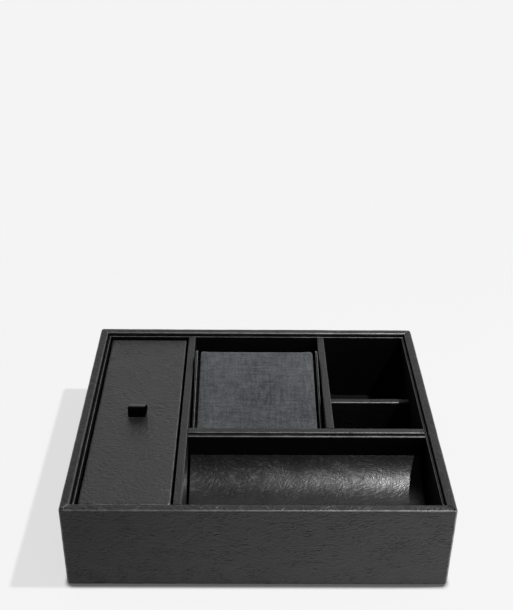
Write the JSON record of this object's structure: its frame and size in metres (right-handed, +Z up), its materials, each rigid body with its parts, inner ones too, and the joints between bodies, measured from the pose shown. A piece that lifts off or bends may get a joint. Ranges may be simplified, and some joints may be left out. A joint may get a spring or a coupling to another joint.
{
  "type": "valet tray box",
  "caption": "Low open tray box for a dresser: lift-off lid over a long box, sloping watch pad, upright phone slot, divided cells and a front tray with a hollow floor.",
  "frame": {"origin": "centre of the underside, on the table", "axes": "+X to the right seen from the front, +Y to the back, +Z up"},
  "size_m": [0.19, 0.161, 0.0559],
  "materials": {
    "satin_leather": "black coated leather, satin, fine creased grain",
    "divider_leather": "black coated leather, satin, folded over the edge",
    "lining_leather": "black coated leather on card, satin",
    "tray_leather": "black coated leather, semi-gloss, marked creased grain",
    "pad_end_leather": "black coated leather, glossy, on thin board",
    "suede": "charcoal faux suede, fine nap",
    "felt": "black felt",
    "ribbon": "black woven ribbon",
    "fibreboard": "raw fibreboard",
    "foam": "grey upholstery foam"
  },
  "bodies": {
    "case": {"front_wall_cover": "satin_leather", "back_wall_cover": "satin_leather", "left_wall_cover": "satin_leather", "right_wall_cover": "satin_leather", "long_divider_cover": "divider_leather", "short_divider_cover": "divider_leather", "cross_divider_cover": "divider_leather", "low_divider_cover": "divider_leather", "phone_step_cover": "divider_leather", "front_liner": "lining_leather", "back_liner": "lining_leather", "left_liner": "lining_leather", "right_liner": "lining_leather", "lid_box_floor": "lining_leather", "pad_bay_floor": "lining_leather", "front_cell_floor": "lining_leather", "rear_cell_floor": "lining_leather", "front_lid_ledge": "lining_leather", "back_lid_ledge": "lining_leather", "tray_rear_wall": "tray_leather", "tray_floor": "tray_leather", "base_pad": "felt", "base_board": "fibreboard", "front_wall_board": "fibreboard", "back_wall_board": "fibreboard", "left_wall_board": "fibreboard", "right_wall_board": "fibreboard", "long_divider_board": "fibreboard", "short_divider_board": "fibreboard", "cross_divider_board": "fibreboard", "low_divider_board": "fibreboard", "tray_rib_left": "fibreboard", "tray_rib_middle": "fibreboard", "tray_rib_right": "fibreboard", "phone_step_block": "fibreboard"},
    "lid": {"lid_board": "fibreboard", "lid_cover": "satin_leather", "lid_lining": "suede", "pull_tab": "ribbon"},
    "watch_pad": {"pad_board": "fibreboard", "pad_foam": "foam", "pad_suede": "suede", "pad_left_end": "pad_end_leather", "pad_right_end": "pad_end_leather"}
  },
  "joints": [
    {"name": "lid_lift", "type": "slide", "parent": "case", "child": "lid", "axis": [0, 0, 1], "range_m": [0, 0.06]},
    {"name": "pad_lift", "type": "slide", "parent": "case", "child": "watch_pad", "axis": [0, 0, 1], "range_m": [0, 0.08]}
  ]
}
